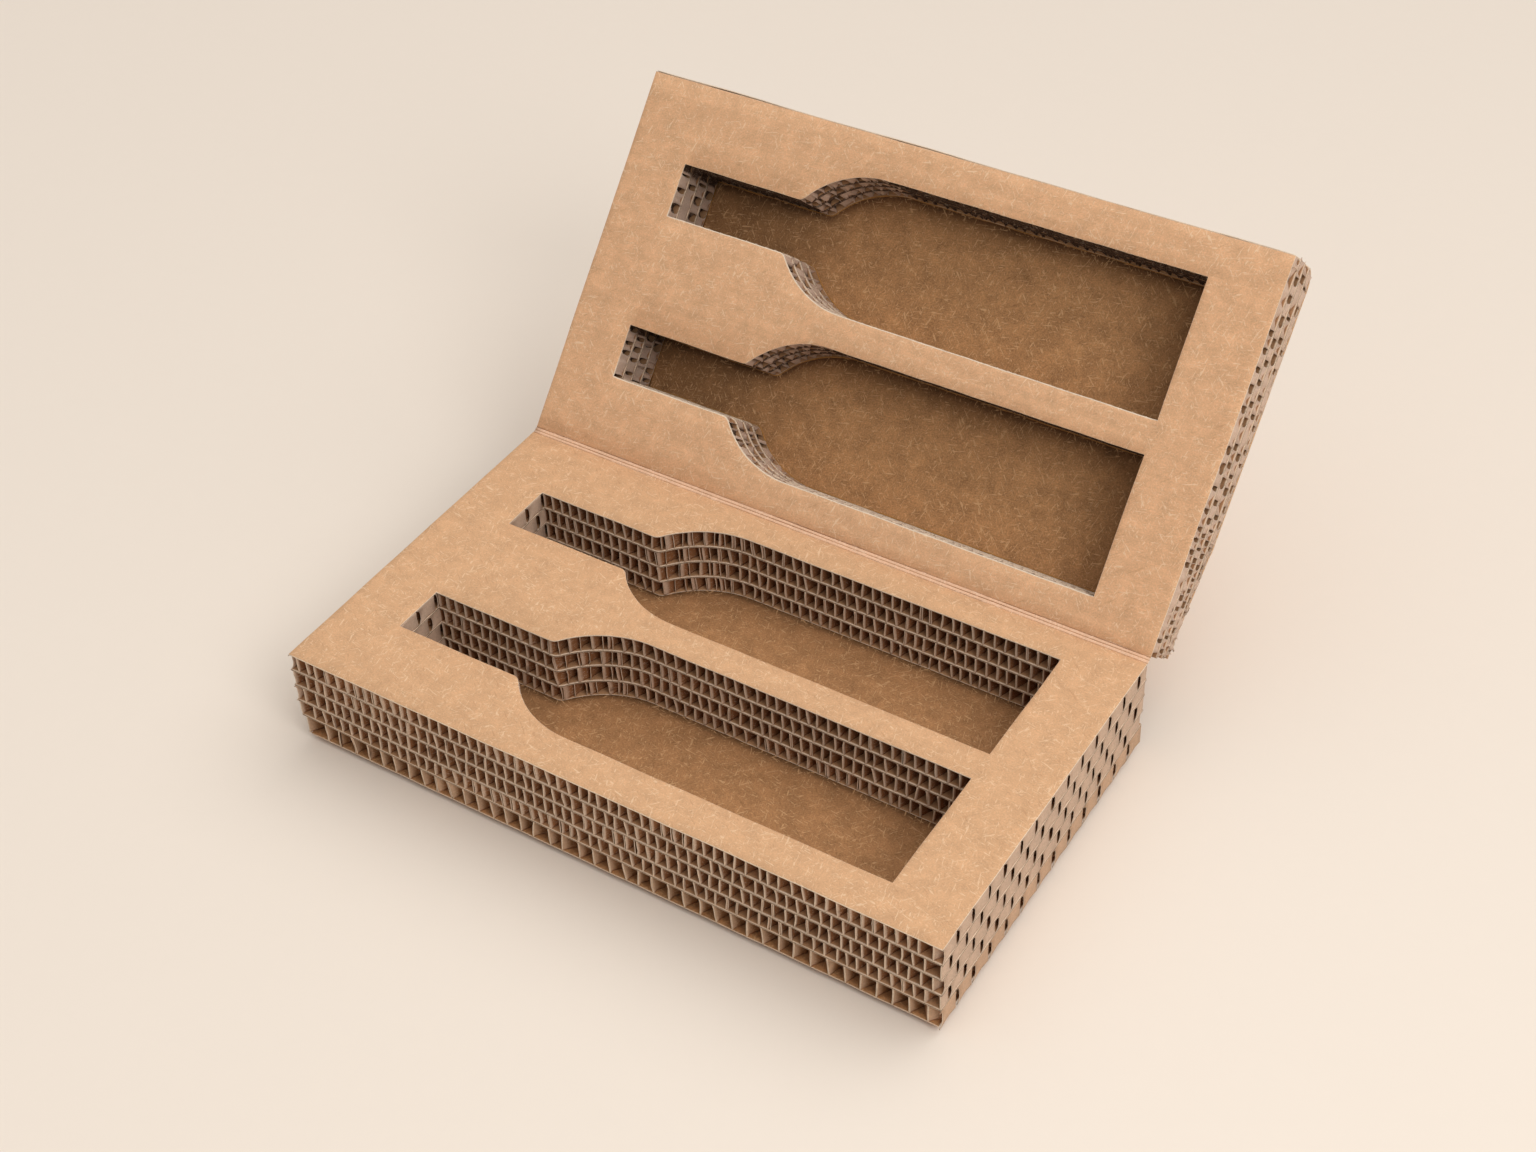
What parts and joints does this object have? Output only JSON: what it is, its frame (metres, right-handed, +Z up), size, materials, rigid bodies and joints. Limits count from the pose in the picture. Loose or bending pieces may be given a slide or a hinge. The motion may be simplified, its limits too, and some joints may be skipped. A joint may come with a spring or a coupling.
{
  "type": "bottle shipping box",
  "caption": "Hinged shipping box of glued honeycomb board, opened like a book, with bottle-shaped pockets that hold bottles lying down between its base and its lid.",
  "frame": {"origin": "middle of the face that the base stands on", "axes": "+X along the bottles towards their feet, +Y from the free front edge to the hinge, +Z up"},
  "size_m": [0.39, 0.3944, 0.2202],
  "materials": {
    "kraft_face": "matte kraft liner with fine fibres",
    "kraft_liner": "cut edges of glued kraft facings",
    "kraft_floor": "brown kraft facing",
    "honeycomb_fine": "greyish recycled paper, cut cells",
    "honeycomb_coarse": "greyish brown recycled paper, larger cut cells"
  },
  "bodies": {
    "base": {"base_face_sheet": "kraft_face", "base_core_1": "honeycomb_fine", "base_core_2": "honeycomb_fine", "base_core_3": "honeycomb_fine", "base_core_4": "honeycomb_fine", "base_liner_1": "kraft_liner", "base_liner_2": "kraft_liner", "base_liner_3": "kraft_liner", "base_floor_sheet": "kraft_floor", "base_bottom_core": "honeycomb_coarse", "base_bottom_sheet": "kraft_face"},
    "lid": {"lid_face_sheet": "kraft_face", "lid_core_1_necks": "honeycomb_fine", "lid_core_1_bodies": "honeycomb_fine", "lid_core_2_necks": "honeycomb_fine", "lid_core_2_bodies": "honeycomb_fine", "lid_core_3_necks": "honeycomb_fine", "lid_core_3_bodies": "honeycomb_fine", "lid_core_4_necks": "honeycomb_fine", "lid_core_4_bodies": "honeycomb_fine", "lid_liner_1": "kraft_liner", "lid_liner_2": "kraft_liner", "lid_liner_3": "kraft_liner", "lid_floor_sheet": "kraft_floor", "lid_back_core": "honeycomb_fine", "lid_back_sheet": "kraft_face"}
  },
  "joints": [
    {"name": "lid_hinge", "type": "hinge", "parent": "base", "child": "lid", "pos_m": [0, 0.11, 0.058], "axis": [1, 0, 0], "range_deg": [-48.2, 131.8]}
  ]
}
